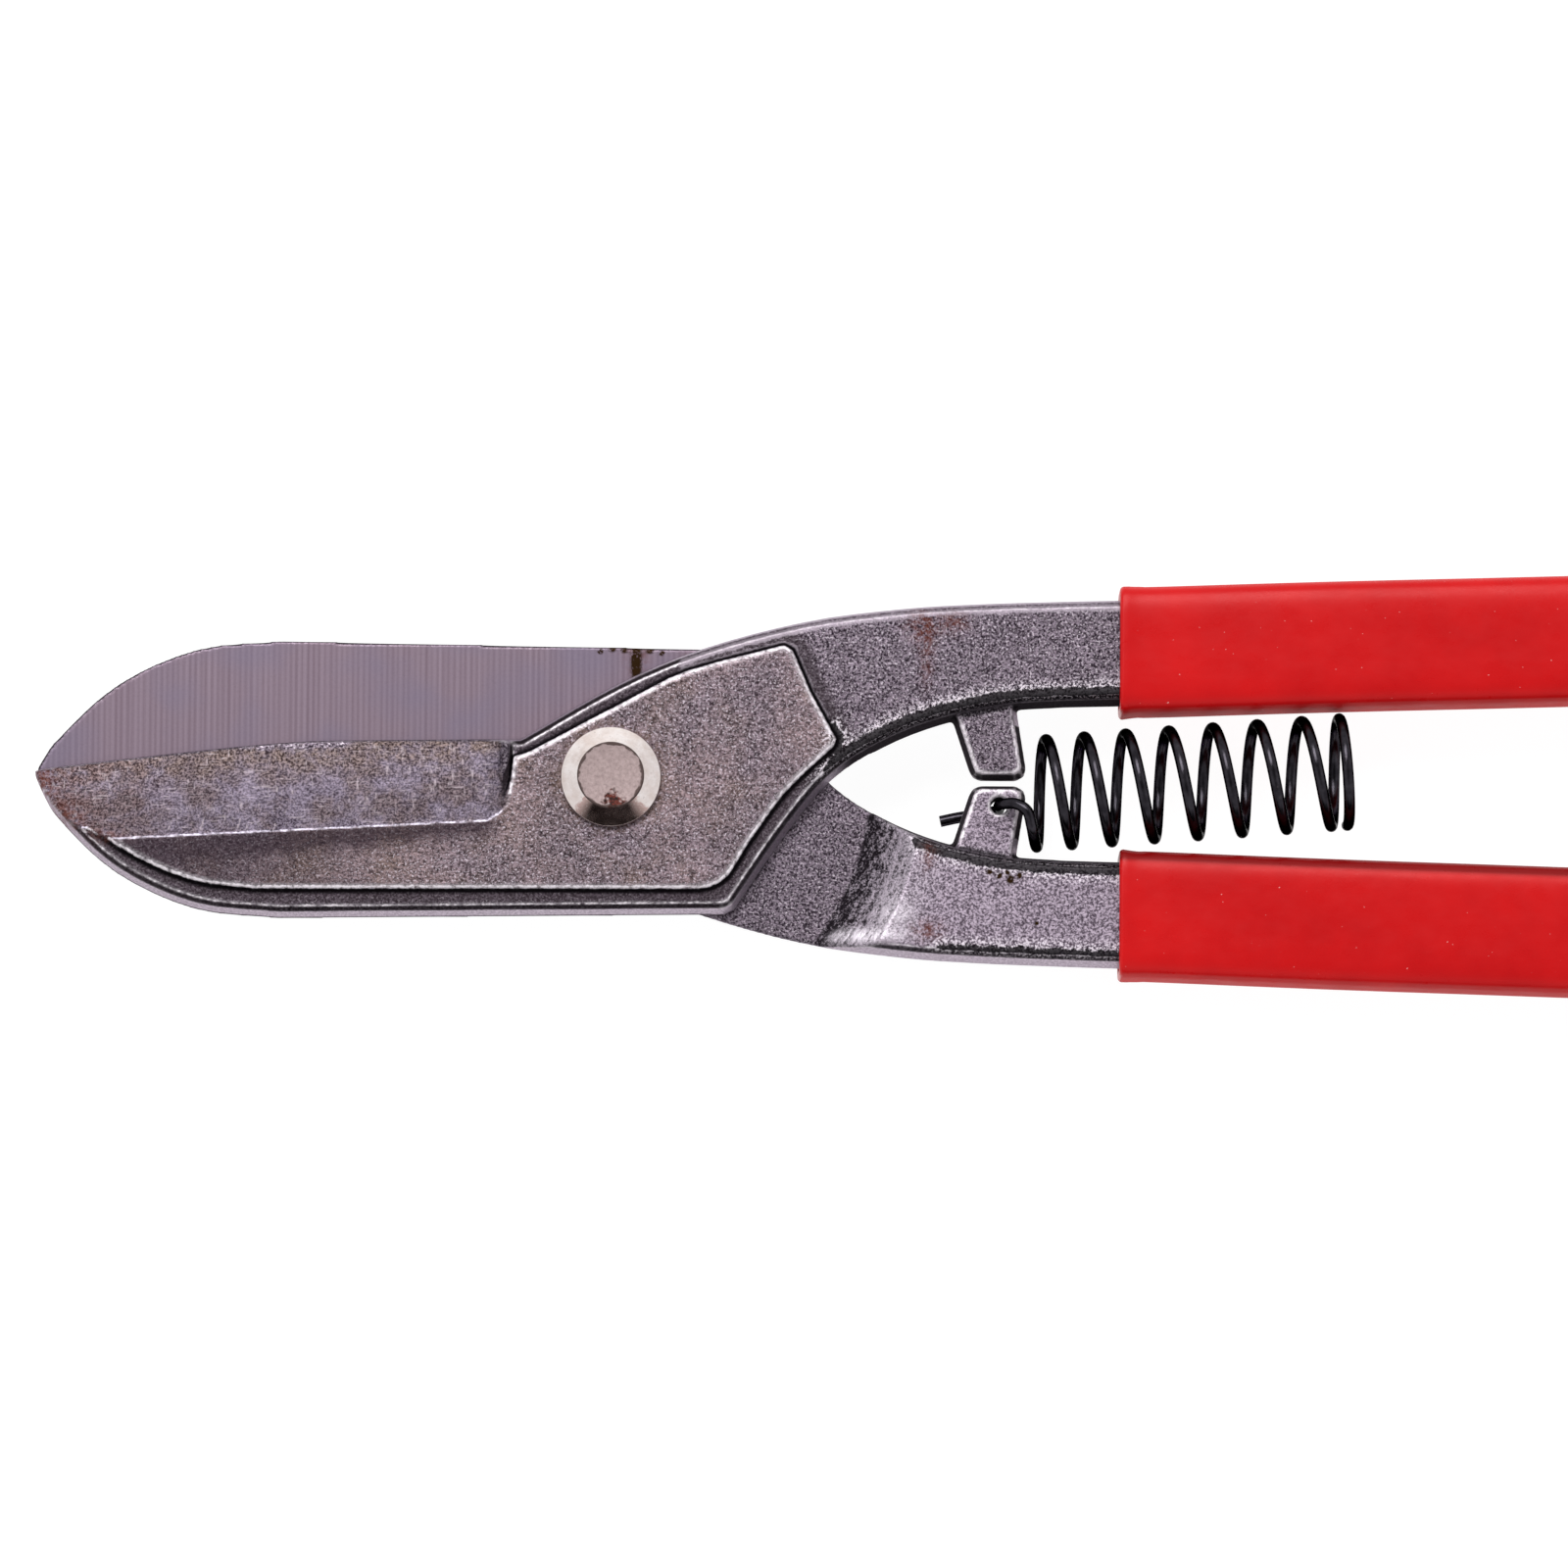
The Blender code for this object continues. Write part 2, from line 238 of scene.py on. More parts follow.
def new_material(name, metallic, **constants):
    material = bpy.data.materials.new(name)
    material.use_nodes = True
    tree = material.node_tree
    shader = tree.nodes["Principled BSDF"]
    shader.inputs["Metallic"].default_value = metallic
    for key, value in constants.items():
        shader.inputs[key.replace("_", " ")].default_value = value
    return material, tree, shader


# Steel of the levers.

BURNISHED = colour(0.86, 0.80, 0.84)
# Near black, for scale along the shoulders and for painted shade beneath the hub, in creases and along the
# rim by the gap.
SCALE_AND_SHADE = colour(0.004, 0.003, 0.004)


def skin_tone(tree, grain, coarse, broad):
    """Blasted forging: light and dark grains, browner on the hub, smoother on the sides, which carry a
    painted pale reflection of the table, with painted black shade where they face the gap.
    """
    tone = blend_colour(tree, grain, colour(0.018, 0.012, 0.018), colour(0.225, 0.182, 0.222))
    dashes = levels(tree, noise(tree, millimetres(tree, (0.5, 2.2, 1.5)), 1.6, 4.0, 0.7), 0.36, 0.64)
    hub_grain = maths(tree, "ADD", scaled(tree, grain, 0.6), scaled(tree, dashes, 0.4))
    hub_tone = blend_colour(tree, hub_grain, colour(0.026, 0.017, 0.018), colour(0.345, 0.252, 0.268))
    stain = levels(tree, noise(tree, millimetres(tree), 0.11, 5.0, 0.65), 0.44, 0.57, 0.0, 0.75)
    stain_tone = blend_colour(tree, hub_grain, colour(0.022, 0.014, 0.011), colour(0.270, 0.190, 0.170))
    hub_tone = blend_colour(tree, stain, hub_tone, stain_tone)
    on_hub = levels(tree, mask(tree, "height"), 4.3, 4.5)
    hub_amount = scaled(tree, on_hub, levels(tree, broad, 0.36, 0.6, 0.3, 1.0))
    tone = blend_colour(tree, hub_amount, tone, hub_tone)
    glints = levels(tree, noise(tree, millimetres(tree), 3.2, 2.0, 0.7), 0.57, 0.64, 0.0, 0.75)
    tone = blend_colour(tree, glints, tone, colour(0.52, 0.46, 0.51))
    tone = blend_colour(tree, 1.0, tone, levels(tree, coarse, 0.35, 0.68, 0.80, 1.08), "MULTIPLY")
    back_tone = blend_colour(tree, grain, colour(0.075, 0.056, 0.075), colour(0.475, 0.395, 0.475))
    tone = blend_colour(tree, scaled(tree, mask(tree, "back"), 0.8), tone, back_tone)
    # Painted reflection: the sides are painted pale, as if the white table shone in them.
    side_reflection_tone = blend_colour(tree, grain, colour(0.520, 0.440, 0.520), colour(0.820, 0.720, 0.820))
    tone = blend_colour(tree, scaled(tree, mask(tree, "side"), 0.85), tone, side_reflection_tone)
    # Painted shade: the sides that face the gap between the handles are painted near black.
    return blend_colour(tree, scaled(tree, mask(tree, "gap_side"), 0.93), tone, colour(0.010, 0.008, 0.009))


def ground_tone(tree, place, strokes):
    """The flat meeting face: grinding strokes straight across the blade, with a faint blue haze."""
    tone = blend_colour(tree, strokes, colour(0.130, 0.094, 0.118), colour(0.200, 0.155, 0.190))
    haze = levels(tree, noise(tree, place, 0.10, 2.0), 0.45, 0.7, 0.0, 0.5)
    return blend_colour(tree, haze, tone, colour(0.140, 0.120, 0.170))


def bevel_tone(tree, place, grain):
    """The hollow-ground bevel: mottled, with scratches and with straw tint towards the edge."""
    cloud = levels(tree, noise(tree, place, 0.26, 6.0, 0.75), 0.36, 0.66)
    speck = maths(tree, "ADD", scaled(tree, grain, 0.65), scaled(tree, cloud, 0.35))
    tone = blend_colour(tree, speck, colour(0.020, 0.014, 0.021), colour(0.190, 0.160, 0.205))
    patches = levels(tree, noise(tree, place, 0.16, 5.0, 0.7), 0.44, 0.58, 0.0, 0.8)
    patch_tone = blend_colour(tree, grain, colour(0.018, 0.012, 0.013), colour(0.120, 0.088, 0.090))
    tone = blend_colour(tree, patches, tone, patch_tone)
    drift = levels(tree, noise(tree, place, 0.30, 6.0, 0.75), 0.40, 0.58, 0.05, 1.0)
    straw_tone = blend_colour(tree, grain, colour(0.020, 0.012, 0.011), colour(0.160, 0.120, 0.112))
    tone = blend_colour(tree, scaled(tree, mask(tree, "straw"), drift), tone, straw_tone)
    nose_tone = blend_colour(tree, grain, colour(0.020, 0.010, 0.010), colour(0.135, 0.090, 0.092))
    burnt = scaled(tree, mask(tree, "nose"), scaled(tree, drift, 0.9))
    tone = blend_colour(tree, burnt, tone, nose_tone)
    for stretch in ((1.6, 0.30, 1.0), (0.25, 2.2, 1.0)):
        scratches = noise(tree, millimetres(tree, stretch), 1.3, 3.0, 0.6)
        scratches = levels(tree, scratches, 0.60, 0.70, 0.0, 0.45)
        tone = blend_colour(tree, scratches, tone, colour(0.34, 0.29, 0.31))
    return tone


def near_edge(tree, name, wobble, full, none):
    """1 within the first distance of the named edge, falling to 0 at the second, in millimetres."""
    distance = maths(tree, "ADD", mask(tree, name), wobble)
    return levels(tree, distance, full, none, 1.0, 0.0)


def scale_and_soot(tree, wobble, coarse, on_hub, below_hub, surface):
    """Black scale along the shoulders, soot on the hub beside the bevel, and a darker band beneath the hub's
    edge.
    """
    off_centre = maths(tree, "ABSOLUTE", mask(tree, "height"), 0.0)
    not_bevel = inverse(tree, mask(tree, "bevel"))
    shoulder = scaled(tree, levels(tree, off_centre, 3.15, 3.30), levels(tree, off_centre, 3.90, 3.72))
    shoulder = scaled(tree, shoulder, scaled(tree, not_bevel, inverse(tree, mask(tree, "no_scale"))))
    surface = blend_colour(tree, scaled(tree, shoulder, 0.8), surface, SCALE_AND_SHADE)
    sooted = maths(tree, "ADD", mask(tree, "soot"), levels(tree, coarse, 0.3, 0.7, -0.25, 0.25))
    sooted = scaled(tree, scaled(tree, levels(tree, sooted, 0.15, 0.95, 0.0, 0.80), not_bevel), on_hub)
    surface = blend_colour(tree, sooted, surface, colour(0.022, 0.014, 0.020))
    by_hub = scaled(tree, near_edge(tree, "hub_edge", scaled(tree, wobble, 2.0), 1.8, 3.2), below_hub)
    by_hub = scaled(tree, scaled(tree, by_hub, not_bevel), 0.74)
    return blend_colour(tree, by_hub, surface, colour(0.030, 0.022, 0.026))


def worn_and_shaded_rims(tree, wobble, worn, grain, surface):
    """The outline's rims: a burnished strip, a bright burr, painted glints, and a painted black shade line by
    the gap.
    """
    bare = mask(tree, "no_scale")
    rim_band = mask(tree, "rim_band")
    strip = scaled(tree, near_edge(tree, "rim_edge", scaled(tree, wobble, 2.0), 0.50, 0.70), bare)
    surface = blend_colour(tree, scaled(tree, strip, 0.6), surface, colour(0.36, 0.31, 0.355))
    # Painted shade: a black line along the rim band, by the gap between the handles.
    gap_shade_line = levels(tree, maths(tree, "ADD", rim_band, scaled(tree, wobble, 0.9)), 0.74, 0.81)
    rim = scaled(tree, near_edge(tree, "rim_edge", wobble, 0.06, 0.19), scaled(tree, worn, 0.8))
    rim = scaled(tree, rim, inverse(tree, scaled(tree, bare, 0.6)))
    rim = scaled(tree, rim, inverse(tree, gap_shade_line))
    surface = blend_colour(tree, rim, surface, BURNISHED)
    # Painted glints: bright flecks scattered over the rim band.
    rim_glints = maths(tree, "ADD", rim_band, scaled(tree, maths(tree, "SUBTRACT", grain, 0.5), 0.9))
    rim_glints = levels(tree, rim_glints, 0.45, 1.05, 0.0, 0.85)
    surface = blend_colour(tree, rim_glints, surface, colour(0.72, 0.66, 0.71))
    return blend_colour(tree, scaled(tree, gap_shade_line, 0.94), surface, SCALE_AND_SHADE), rim, gap_shade_line


def worn_and_shaded_edges(tree, place, grain, coarse, surface):
    """Bright burred edges, painted black shade in the corner beneath the hub and in the creases, and a dark
    line of scale along the shoulder.

    The second value is how far the edge is worn bright.
    """
    wobble = levels(tree, noise(tree, place, 1.6, 4.0, 0.7), 0.3, 0.7, -0.12, 0.16)
    worn = levels(tree, noise(tree, place, 0.9, 5.0, 0.8), 0.36, 0.54, 0.10, 1.0)
    height = mask(tree, "height")
    on_hub = levels(tree, height, 4.16, 4.32)
    below_hub = scaled(tree, levels(tree, height, 4.32, 4.16), levels(tree, height, 3.0, 3.4))
    surface = scale_and_soot(tree, wobble, coarse, on_hub, below_hub, surface)
    surface, rim, gap_shade_line = worn_and_shaded_rims(tree, wobble, worn, grain, surface)

    fine_wobble = scaled(tree, wobble, 0.6)
    # Painted shade: black in the corner beneath the hub's wall.
    hub_shade = scaled(tree, near_edge(tree, "hub_edge", fine_wobble, 0.55, 0.75), below_hub)
    hub_shade = scaled(tree, hub_shade, inverse(tree, mask(tree, "bevel")))
    surface = blend_colour(tree, hub_shade, surface, SCALE_AND_SHADE)
    hub_line = scaled(tree, near_edge(tree, "hub_edge", wobble, 0.14, 0.27), scaled(tree, on_hub, worn))
    surface = blend_colour(tree, hub_line, surface, BURNISHED)
    grind_line = scaled(tree, near_edge(tree, "grind_edge", fine_wobble, 0.05, 0.20), worn)
    surface = blend_colour(tree, grind_line, surface, colour(0.55, 0.51, 0.60))
    ridge = scaled(tree, mask(tree, "ridge"), inverse(tree, mask(tree, "no_scale")))
    ridge = scaled(tree, scaled(tree, ridge, scaled(tree, worn, 0.35)), inverse(tree, gap_shade_line))
    surface = blend_colour(tree, ridge, surface, BURNISHED)
    # Painted shade: black in concave creases and along the rounded rim of the blade's meeting face.
    surface = blend_colour(tree, scaled(tree, mask(tree, "groove"), 0.75), surface, SCALE_AND_SHADE)
    return surface, maths(tree, "ADD", rim, hub_line, clamp=True)


def shaded_torn_ramp(tree, grain, surface):
    """The ramp up to the handle: dark and torn along the die's arc, with painted shade towards its foot and a
    painted highlight over its crest.
    """
    radius = mask(tree, "radius")
    parts = add(tree, "ShaderNodeSeparateXYZ", Vector=millimetres(tree))
    place = add(tree, "ShaderNodeCombineXYZ", X=scaled(tree, radius, 1.5),
                Y=scaled(tree, parts.outputs["Y"], 0.55)).outputs[0]
    torn = noise(tree, place, 1.0, 5.0, 0.7)
    # Painted shade: darker towards the ramp's foot, lighter up its slope.
    lift = levels(tree, radius, 35.0, 39.5, -0.14, 0.09)
    level = maths(tree, "ADD", torn, lift)
    level = maths(tree, "ADD", level, levels(tree, grain, 0.0, 1.0, -0.12, 0.12))
    tone = blend_colour(tree, levels(tree, level, 0.38, 0.64), colour(0.012, 0.009, 0.012),
                        colour(0.330, 0.285, 0.330))
    surface = blend_colour(tree, mask(tree, "ramp"), surface, tone)
    # Painted highlight: lighter over the crest of the rear handle's ramp.
    crest = scaled(tree, levels(tree, radius, 38.5, 41.5), levels(tree, radius, 46.5, 42.5))
    crest = scaled(tree, scaled(tree, crest, mask(tree, "back")), levels(tree, grain, 0.2, 0.9, 0.05, 0.42))
    surface = blend_colour(tree, crest, surface, colour(0.50, 0.45, 0.50))
    smear = scaled(tree, mask(tree, "smear"), levels(tree, torn, 0.35, 0.55, 0.2, 1.0))
    return blend_colour(tree, smear, surface, colour(0.80, 0.74, 0.80)), torn


def forged_steel():
    """The levers' steel, with ground faces, tints, wear, rust, and painted shade, reflections and highlights,
    where the stored masks say.
    """
    material, tree, shader = new_material("forged_steel", 1.0, Specular_Tint=colour(0.35, 0.35, 0.35))
    place = millimetres(tree)
    grain_noise = noise(tree, place, 3.1, 3.0, 0.75)
    grain = levels(tree, grain_noise, 0.42, 0.60)
    coarse = noise(tree, place, 0.8, 3.0, 0.6)
    broad = noise(tree, place, 0.07, 3.0, 0.6)
    comb = add(tree, "ShaderNodeTexWave", Vector=millimetres(tree, (1.0, 0.02, 0.02)), Scale=0.42,
               Distortion=1.2, Detail=2.0).outputs["Fac"]
    streak = levels(tree, noise(tree, millimetres(tree, (1.6, 0.012, 0.012)), 1.0, 4.0, 0.7), 0.3, 0.7)
    strokes = maths(tree, "ADD", scaled(tree, comb, 0.45), scaled(tree, streak, 0.55))

    surface = skin_tone(tree, grain, coarse, broad)
    surface, torn = shaded_torn_ramp(tree, grain, surface)
    surface = blend_colour(tree, mask(tree, "meeting"), surface, ground_tone(tree, place, strokes))
    surface = blend_colour(tree, mask(tree, "bevel"), surface, bevel_tone(tree, place, grain))
    surface, wear = worn_and_shaded_edges(tree, place, grain, coarse, surface)

    bloom = levels(tree, noise(tree, place, 1.2, 5.0, 0.75), 0.40, 0.62)
    rust = maths(tree, "MULTIPLY", mask(tree, "rust"), bloom, clamp=True)
    surface = blend_colour(tree, rust, surface, colour(0.150, 0.046, 0.032))
    halo = maths(tree, "ADD", from_pivot(tree, place)[0], levels(tree, coarse, 0.3, 0.7, -1.2, 1.2))
    halo = scaled(tree, levels(tree, halo, 6.6, 8.0, 0.6, 0.0), levels(tree, mask(tree, "height"), 4.3, 4.5))
    surface = blend_colour(tree, scaled(tree, halo, bloom), surface, colour(0.100, 0.060, 0.040))
    scatter = levels(tree, noise(tree, place, 1.8, 4.0, 0.7), 0.30, 0.48)
    marks = scaled(tree, mask(tree, "marks"), scatter)
    surface = blend_colour(tree, levels(tree, marks, 0.15, 0.55), surface, colour(0.020, 0.010, 0.004))
    plug(tree, surface, shader.inputs["Base Color"])
    plug(tree, inverse(tree, scaled(tree, wear, 0.8)), shader.inputs["Metallic"])

    rough = levels(tree, grain_noise, 0.3, 0.7, 0.55, 0.40)
    rough = maths(tree, "ADD", rough, scaled(tree, rust, 0.35), clamp=True)
    rough = maths(tree, "ADD", rough, scaled(tree, mask(tree, "gap_side"), 0.5), clamp=True)
    plug(tree, rough, shader.inputs["Roughness"])

    skin_part = inverse(tree, mask(tree, "meeting"))
    rough_height = scaled(tree, maths(tree, "ADD", grain_noise, scaled(tree, coarse, 0.5)), skin_part)
    stroke_height = scaled(tree, scaled(tree, strokes, 0.10), mask(tree, "meeting"))
    torn_height = scaled(tree, scaled(tree, maths(tree, "SUBTRACT", torn, 0.5), 4.0), mask(tree, "ramp"))
    height = maths(tree, "ADD", maths(tree, "ADD", rough_height, stroke_height), torn_height)
    bump = add(tree, "ShaderNodeBump", Height=height, Strength=0.5, Distance=0.10 * MM)
    plug(tree, bump.outputs[0], shader.inputs["Normal"])
    return material


# Blooms of rust on each lever: (x, y, half width, half height, strength) in the lever's own plan.
FRONT_RUST = [
    (-75.5, -0.5, 1.6, 4.0, 0.9),
    (-72.5, -6.0, 2.2, 2.0, 0.8),
    (-67.0, -8.3, 2.2, 0.8, 0.5),
    (41.2, 20.6, 1.9, 1.9, 0.9),
    (41.7, 17.0, 0.9, 3.6, 0.65),
    (45.3, 21.0, 1.7, 1.3, 0.8),
]
REAR_RUST = [
    (42.0, 10.2, 0.9, 1.7, 0.8),
    (42.0, 20.0, 1.8, 1.3, 0.9),
    (3.4, -17.0, 1.5, 2.2, 0.5),
]
# Burnt and dirty marks on the rear lever's meeting side: (x, y, half width, half height).
REAR_MARKS = [
    (3.2, -15.9, 0.75, 3.2), (1.6, -17.6, 0.5, 0.4), (0.0, -17.7, 0.5, 0.4), (-1.6, -17.4, 0.4, 0.4),
    (5.0, -17.5, 0.5, 0.4), (6.6, -17.2, 0.4, 0.35), (50.1, 12.2, 0.5, 0.35), (51.4, 12.7, 0.5, 0.45),
    (52.5, 12.2, 0.3, 0.3), (52.9, 13.2, 0.5, 0.6), (54.1, 12.7, 0.35, 0.45), (56.4, 19.0, 0.3, 0.25),
]

# Heights from the meeting plane, in millimetres: a lever's outer face, its hub and the bolt head's seat.
TOP = 4.0
HUB_TOP = 4.7
SEAT = 4.72
# How far each blade's inner face stands from the meeting plane, in metres.
MEETING_CLEARANCE = 0.04 * MM


def spot(plan, x, y, half_width, half_height):
    reach = ((plan[:, 0] - x) / half_width) ** 2 + ((plan[:, 1] - y) / half_height) ** 2
    return np.exp(-reach)


def edge_lines(lever, flip):
    """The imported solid's hub, grind and rim edges, each a list of segments in the lever's own plan."""
    turn = Matrix.Diagonal((1.0, flip, flip))
    shape = bmesh.new()
    shape.from_mesh(lever.data)
    lines = {"hub": [], "grind": [], "rim": []}
    for edge in shape.edges:
        if len(edge.link_faces) != 2:
            continue
        ends = [turn @ (vertex.co - PIVOT) / MM for vertex in edge.verts]
        level = (ends[0].z + ends[1].z) / 2
        flat_side, other = sorted(((turn @ face.normal).z for face in edge.link_faces), key=abs, reverse=True)
        steep = abs(other)
        if abs(flat_side) < 0.995 or max(end.to_2d().length for end in ends) < 5.0:
            continue
        if abs(level - HUB_TOP) < 0.1 and steep < 0.6:
            lines["hub"].append(ends)
        elif level > TOP - 0.1 and 0.8 < other < 0.9945:
            lines["grind"].append(ends)
        elif abs(abs(level) - TOP) < 0.1 and 0.3 < steep < 0.8:
            lines["rim"].append(ends)
    shape.free()
    return lines


def distance_to(segments, plan):
    """How far each point is from the nearest segment, in millimetres. The segments' axes are the plan's."""
    nearest = np.full(len(plan), 99.0)
    for start, end in segments:
        origin = np.array(start)[:plan.shape[1]]
        along = np.array(end)[:plan.shape[1]] - origin
        share = np.clip((plan - origin) @ along / max(along @ along, 1e-9), 0.0, 1.0)
        nearest = np.minimum(nearest, np.linalg.norm(plan - origin - share[:, None] * along, axis=1))
    return nearest


def blunted_nose(mesh, points, plan, reach):
    """The points with the blade's thin nose eased into a small round and drawn out by this reach."""
    share = ramp_up(-plan[:, 0], 73.8, 75.0)[:, None]
    for _ in range(14):
        points = points + (neighbour_mean(mesh, points) - points) * share * np.array([1.0, 1.0, 0.0])
    points[:, 0] -= ramp_up(-plan[:, 0], 72.5, 76.2) * reach * MM
    return points


def store_masks(mesh, lines, flat, facing, plan, bulge, turned_over, rust_blooms):
    """Where each finish, and each painted shade, reflection and highlight, lies, as values on the mesh's
    vertices. Lengths are in millimetres.
    """
    along, across, height = plan.T
    up = facing[:, 2]
    off_centre = np.abs(height)
    radius = np.hypot(along, across)
    edges = {key: distance_to(segments, plan) for key, segments in lines.items()}
    edges["hub"] = distance_to(lines["hub"], plan[:, :2])

    # The parts of the lever.
    blade = ramp_up(-along, -14.0, -12.5)
    centre_line = np.interp(along, [24.0, 32.0, 45.0, 70.0, 175.0], [4.0, 11.0, 16.0, 17.5, 22.0])
    inner_side = ramp_up(along, 24.0, 30.0) * ramp_up(centre_line - across, 0.0, 1.5)
    lug = (along > 43.0) & (along < 57.0) & (across < 7.5)
    bevel = (up > 0.80) & (up < 0.992) & (along < -12.2) & (across > -10.5) & (height > 0.6)
    bevel = ramp_up(neighbour_mean(mesh, bevel.astype(float), 3), 0.35, 0.65)
    sloping = (up < -0.5) & (up > -0.97) & (along > 25.0) & (height < 0.1) & (height > -3.9)
    store(mesh, "meeting", neighbour_mean(mesh, flat.astype(float)) * blade)
    store(mesh, "bevel", bevel)
    store(mesh, "straw", bevel * ramp_up(-height, -2.3, -1.2))
    store(mesh, "nose", ramp_up(-along, 54.0, 74.0))
    store(mesh, "back", ramp_up(-height, 0.5, 3.0) * (along > 30.0))
    store(mesh, "height", height)
    store(mesh, "radius", radius)
    store(mesh, "ramp", ramp_up(neighbour_mean(mesh, sloping.astype(float), 5), 0.25, 0.75))

    # The sides, with painted black shade where they face the gap between the handles.
    side = neighbour_mean(mesh, ramp_up(-np.abs(up), -0.62, -0.42))
    side *= np.maximum(ramp_up(off_centre, 0.4, 1.0), along > 12.0)
    in_gap = ramp_up(along, 28.0, 32.0) * ramp_up(-facing[:, 1], -0.2, 0.3) * ramp_up(-across, -17.0, -15.0)
    store(mesh, "side", side)
    store(mesh, "gap_side", np.maximum(side * in_gap, side * lug))

    # Rust, dirt, soot and the light smear below the ramp.
    store(mesh, "rust", sum(strength * spot(plan, *bloom) for *bloom, strength in rust_blooms))
    marks = sum(spot(plan, *mark) for mark in REAR_MARKS) if turned_over else np.zeros(len(plan))
    store(mesh, "marks", np.clip(marks, 0.0, 1.0) * (up < -0.5))
    beside_bevel = ramp_up(-edges["grind"], -4.5, 0.0) * ramp_up(-along, 12.0, 18.0)
    store(mesh, "soot", ramp_up(-along, 12.0, 60.0) * 0.75 + beside_bevel)
    smear = spot(plan, 33.5, 20.6, 4.5, 0.8) + spot(plan, 37.8, 18.0, 2.2, 2.0) * 0.5
    store(mesh, "smear", smear * ramp_up(-height, 0.2, 1.0) * (up < -0.5))

    # The edges: how they are worn, and where painted shade and painted glints lie along them.
    rim_band = ramp_up(-edges["rim"], -3.0, 0.0) * ramp_up(np.abs(up), 0.55, 0.8)
    rim_band *= np.maximum(inner_side, 0.9 * ramp_up(along, 41.0, 44.0) * turned_over)
    store(mesh, "rim_band", rim_band)
    edges["rim"][(height < 0.0) & (inner_side > 0.5)] = 99.0
    for key, distance in edges.items():
        store(mesh, key + "_edge", distance)
    off_meeting = ramp_up(off_centre, 1.0, 1.6)
    ridge = ramp_up(bulge, 0.04, 0.12) * np.maximum(off_meeting, lug) * (1.0 + 1.6 * lug) * (1.0 - bevel)
    crest = (radius > 38.0) & (radius < 47.0) & (up < -0.8) & ~lug
    store(mesh, "ridge", ridge * np.where(crest, 0.25, 1.0))
    # Painted shade, for the groove mask: the rounded rim of the blade's meeting face and the concave creases.
    blade_rim = ramp_up(up, -0.985, -0.92) * (up < 0.3) * (off_centre < 0.9) * blade
    store(mesh, "groove", np.maximum(ramp_up(-bulge, 0.03, 0.10) * off_meeting, blade_rim))
    crossing = (radius > 33.0) & (radius < 43.5) & (up < -0.8) & (along > 20.0)
    wiped = (facing[:, 1] > 0.2) | (edges["rim"] < 0.9)
    wiped &= (across > centre_line) & (along > 9.0) & (not turned_over)
    store(mesh, "no_scale", neighbour_mean(mesh, (crossing | wiped).astype(float)))


def forging(node, name, turned_over, rust_blooms):
    """The lever as a forging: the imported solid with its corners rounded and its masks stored."""
    lever = copy_of_node(node, name)
    flip = -1.0 if turned_over else 1.0
    lines = edge_lines(lever, flip)
    remesh = lever.modifiers.new("skin", "REMESH")
    remesh.mode = "VOXEL"
    remesh.voxel_size = VOXEL
    soften = lever.modifiers.new("round_corners", "SMOOTH")
    soften.factor = 0.5
    soften.iterations = 2
    lever = baked(lever, name)
    mesh = lever.data

    points = vertex_array(mesh, mesh.vertices)
    normals = vertex_array(mesh, mesh.vertex_normals)
    own_plan = np.array([1.0, flip, flip])
    plan = (points - np.array(PIVOT)) / MM * own_plan
    facing = normals * own_plan

    flat = (facing[:, 2] < -0.9) & (np.abs(plan[:, 2] - 0.15) < 0.2)
    points[flat, 2] = PIVOT.z + flip * MEETING_CLEARANCE
    reach = np.interp(plan[:, 1], [-1.5, 0.8], [0.7, -0.2]) if turned_over else 0.28
    points = blunted_nose(mesh, points, plan, reach)
    mesh.vertices.foreach_set("co", points.astype(np.float32).ravel())

    lift = ((points - neighbour_mean(mesh, points, 2)) * normals).sum(axis=1)
    bulge = neighbour_mean(mesh, lift / VOXEL)
    store_masks(mesh, lines, flat, facing, plan, bulge, turned_over, rust_blooms)
    mesh.shade_smooth()
    return lever


# Pivot.

def turned_profile(name, profile, centre, segments=96):
    rings = []
    for radius, height in profile:
        ring = []
        for step in range(segments):
            angle = 2 * math.pi * step / segments
            ring.append(centre + Vector((math.cos(angle) * radius, math.sin(angle) * radius, height)) * MM)
        rings.append(ring)
    return skin(name, rings)


def plated_steel():
    """Warm bright plating with small dark pits, and painted shade, darker and browner, on the side towards
    -Y.
    """
    material, tree, shader = new_material("plated_steel", 1.0)
    place = millimetres(tree)
    cloud = noise(tree, place, 0.5, 3.0, 0.6)
    pits = noise(tree, place, 3.5, 3.0, 0.6)
    bright = levels(tree, cloud, 0.35, 0.65)
    tone = blend_colour(tree, bright, colour(0.70, 0.605, 0.565), colour(0.83, 0.765, 0.74))
    tone = blend_colour(tree, levels(tree, pits, 0.66, 0.74), tone, colour(0.30, 0.22, 0.19))
    reach, offset = from_pivot(tree, place)
    sideways = add(tree, "ShaderNodeSeparateXYZ", Vector=offset)
    bearing = maths(tree, "DIVIDE", scaled(tree, sideways.outputs["Y"], -1.0), reach)
    bearing = maths(tree, "ADD", bearing, levels(tree, cloud, 0.3, 0.7, -0.08, 0.08))
    # Painted shade: the side towards -Y is painted darker and browner.
    painted_dark_side = scaled(tree, levels(tree, bearing, 0.64, 0.69), levels(tree, reach, 6.62, 6.50))
    wiped = levels(tree, pits, 0.55, 0.70)
    dark_side_tone = blend_colour(tree, wiped, colour(0.52, 0.37, 0.34), colour(0.66, 0.55, 0.52))
    tone = blend_colour(tree, painted_dark_side, tone, dark_side_tone)
    plug(tree, tone, shader.inputs["Base Color"])
    plug(tree, levels(tree, cloud, 0.3, 0.7, 0.10, 0.19), shader.inputs["Roughness"])
    bump = add(tree, "ShaderNodeBump", Height=cloud, Strength=0.3, Distance=0.05 * MM)
    plug(tree, bump.outputs[0], shader.inputs["Normal"])
    return material


